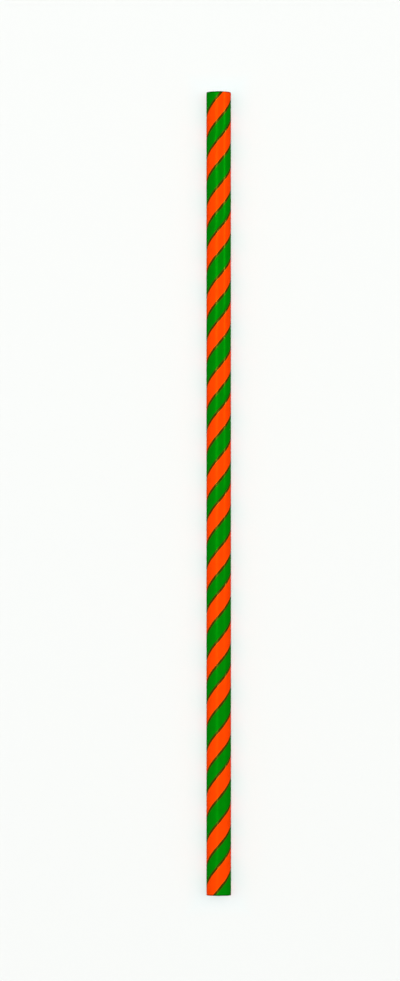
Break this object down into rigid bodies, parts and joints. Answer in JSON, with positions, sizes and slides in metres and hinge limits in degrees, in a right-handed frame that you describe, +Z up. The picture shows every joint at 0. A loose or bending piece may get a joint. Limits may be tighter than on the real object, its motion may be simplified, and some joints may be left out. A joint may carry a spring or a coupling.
{
  "type": "paper drinking straw",
  "caption": "Straight paper tube wound from strips, open at both ends, printed with right-hand spiral stripes in orange and green.",
  "frame": {"origin": "on the surface the straw lies on, under the middle of its length", "axes": "+Y along the tube, towards the end that is at the top of the picture; +Z up from the surface; +X across the tube"},
  "size_m": [0.006, 0.197, 0.0059],
  "materials": {
    "printed_paper": "satin"
  },
  "bodies": {
    "root": {"straw": "printed_paper"}
  },
  "joints": []
}
